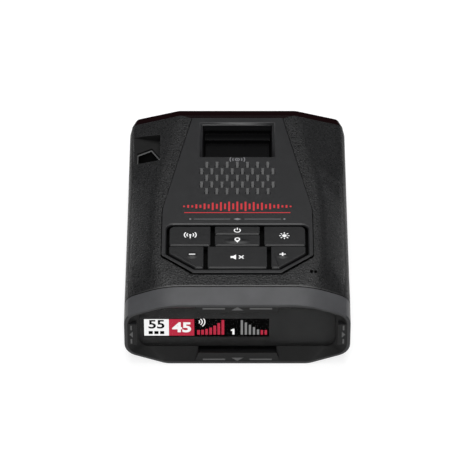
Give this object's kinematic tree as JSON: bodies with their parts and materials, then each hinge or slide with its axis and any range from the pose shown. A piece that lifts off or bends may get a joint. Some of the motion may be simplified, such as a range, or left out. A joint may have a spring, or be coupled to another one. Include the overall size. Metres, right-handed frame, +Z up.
{
  "type": "radar detector",
  "caption": "Windshield radar detector with a lit display, sprung keys, a sound grille, a magnetic mount dock and power, data and earphone sockets.",
  "frame": {"origin": "centre of the underside", "axes": "+Z up through the control panel, -Y out of the display end towards the driver, +Y towards the windshield, +X to the driver's right"},
  "size_m": [0.0864, 0.119, 0.0325],
  "materials": {
    "cover_plastic": "fine grained soft-touch",
    "shell_plastic": "fine grained",
    "panel_plastic": "satin",
    "bezel_plastic": "satin, slightly metallic",
    "smoked_window": "smoked and clear",
    "infrared_window": "dark red, polished",
    "key_plastic": "satin",
    "spring_steel": "thin stamped domes",
    "polyester_sheet": "translucent film stack",
    "circuit_board": "solder resist",
    "gold_contact": "plated",
    "dock_plastic": "smooth black",
    "magnet_nickel": "nickel plated",
    "black_cloth": "acoustic mesh",
    "speaker_frame": "stamped frame",
    "speaker_paper": "paper diaphragm",
    "ferrite": "sintered",
    "chip_plastic": "moulded packages",
    "zinc_steel": "zinc plated",
    "cast_alloy": "die cast",
    "shield_can": "tinned can",
    "ceramic": "unglazed antenna ceramic",
    "sensor_plastic": "dark infrared plastic",
    "display_frame": "black",
    "display_lit": "black glass with lit figures",
    "polyimide": "flexible film",
    "light_guide": "frosted clear plastic, unlit",
    "socket_plastic": "black",
    "socket_steel": "plated shell",
    "black_screw": "black oxide",
    "label_film": "silver film, blank"
  },
  "bodies": {
    "case": {"top_cover": "cover_plastic", "bottom_shell": "shell_plastic", "control_panel": "panel_plastic", "front_bezel": "bezel_plastic", "display_window": "smoked_window", "ir_window": "infrared_window", "dome_sensitivity": "spring_steel", "dome_power": "spring_steel", "dome_mark": "spring_steel", "dome_brightness": "spring_steel", "dome_volume_down": "spring_steel", "dome_mute": "spring_steel", "dome_volume_up": "spring_steel", "keypad_sheet": "polyester_sheet", "key_board": "circuit_board", "key_contacts": "gold_contact", "mount_dock": "dock_plastic", "dock_magnets": "magnet_nickel", "grille_cloth": "black_cloth", "speaker_basket": "speaker_frame", "speaker_cone": "speaker_paper", "speaker_magnet": "ferrite", "main_board": "circuit_board", "board_components": "chip_plastic", "board_screws": "zinc_steel", "front_horn": "cast_alloy", "rear_horn": "cast_alloy", "mixer_module": "shield_can", "gps_antenna": "ceramic", "wireless_module": "shield_can", "front_laser_sensors": "sensor_plastic", "rear_laser_sensor": "sensor_plastic", "light_sensor": "sensor_plastic", "display_module": "display_frame", "display_glass": "display_lit", "display_flex": "polyimide", "arrow_guide_top": "light_guide", "arrow_guide_bottom": "light_guide", "arrow_guide_left": "light_guide", "arrow_guide_right": "light_guide", "power_jack": "socket_plastic", "power_jack_pins": "gold_contact", "usb_socket": "socket_steel", "audio_jack": "socket_plastic", "case_screws": "black_screw", "rating_label": "label_film"},
    "sensitivity_key": {"key_sensitivity": "key_plastic"},
    "power_key": {"key_power": "key_plastic"},
    "mark_key": {"key_mark": "key_plastic"},
    "brightness_key": {"key_brightness": "key_plastic"},
    "volume_down_key": {"key_volume_down": "key_plastic"},
    "mute_key": {"key_mute": "key_plastic"},
    "volume_up_key": {"key_volume_up": "key_plastic"}
  },
  "joints": [
    {"name": "sensitivity_press", "type": "slide", "parent": "case", "child": "sensitivity_key", "axis": [0, 0, -1], "range_m": [0, 0.0006], "stiffness_N_per_m": 1000, "springref_m": -0.0006, "deforming": ["dome_sensitivity"]},
    {"name": "power_press", "type": "slide", "parent": "case", "child": "power_key", "axis": [0, 0, -1], "range_m": [0, 0.0006], "stiffness_N_per_m": 1000, "springref_m": -0.0006, "deforming": ["dome_power"]},
    {"name": "mark_press", "type": "slide", "parent": "case", "child": "mark_key", "axis": [0, 0, -1], "range_m": [0, 0.0006], "stiffness_N_per_m": 1000, "springref_m": -0.0006, "deforming": ["dome_mark"]},
    {"name": "brightness_press", "type": "slide", "parent": "case", "child": "brightness_key", "axis": [0, 0, -1], "range_m": [0, 0.0006], "stiffness_N_per_m": 1000, "springref_m": -0.0006, "deforming": ["dome_brightness"]},
    {"name": "volume_down_press", "type": "slide", "parent": "case", "child": "volume_down_key", "axis": [0, 0, -1], "range_m": [0, 0.0006], "stiffness_N_per_m": 1000, "springref_m": -0.0006, "deforming": ["dome_volume_down"]},
    {"name": "mute_press", "type": "slide", "parent": "case", "child": "mute_key", "axis": [0, 0, -1], "range_m": [0, 0.0006], "stiffness_N_per_m": 1000, "springref_m": -0.0006, "deforming": ["dome_mute"]},
    {"name": "volume_up_press", "type": "slide", "parent": "case", "child": "volume_up_key", "axis": [0, 0, -1], "range_m": [0, 0.0006], "stiffness_N_per_m": 1000, "springref_m": -0.0006, "deforming": ["dome_volume_up"]}
  ]
}
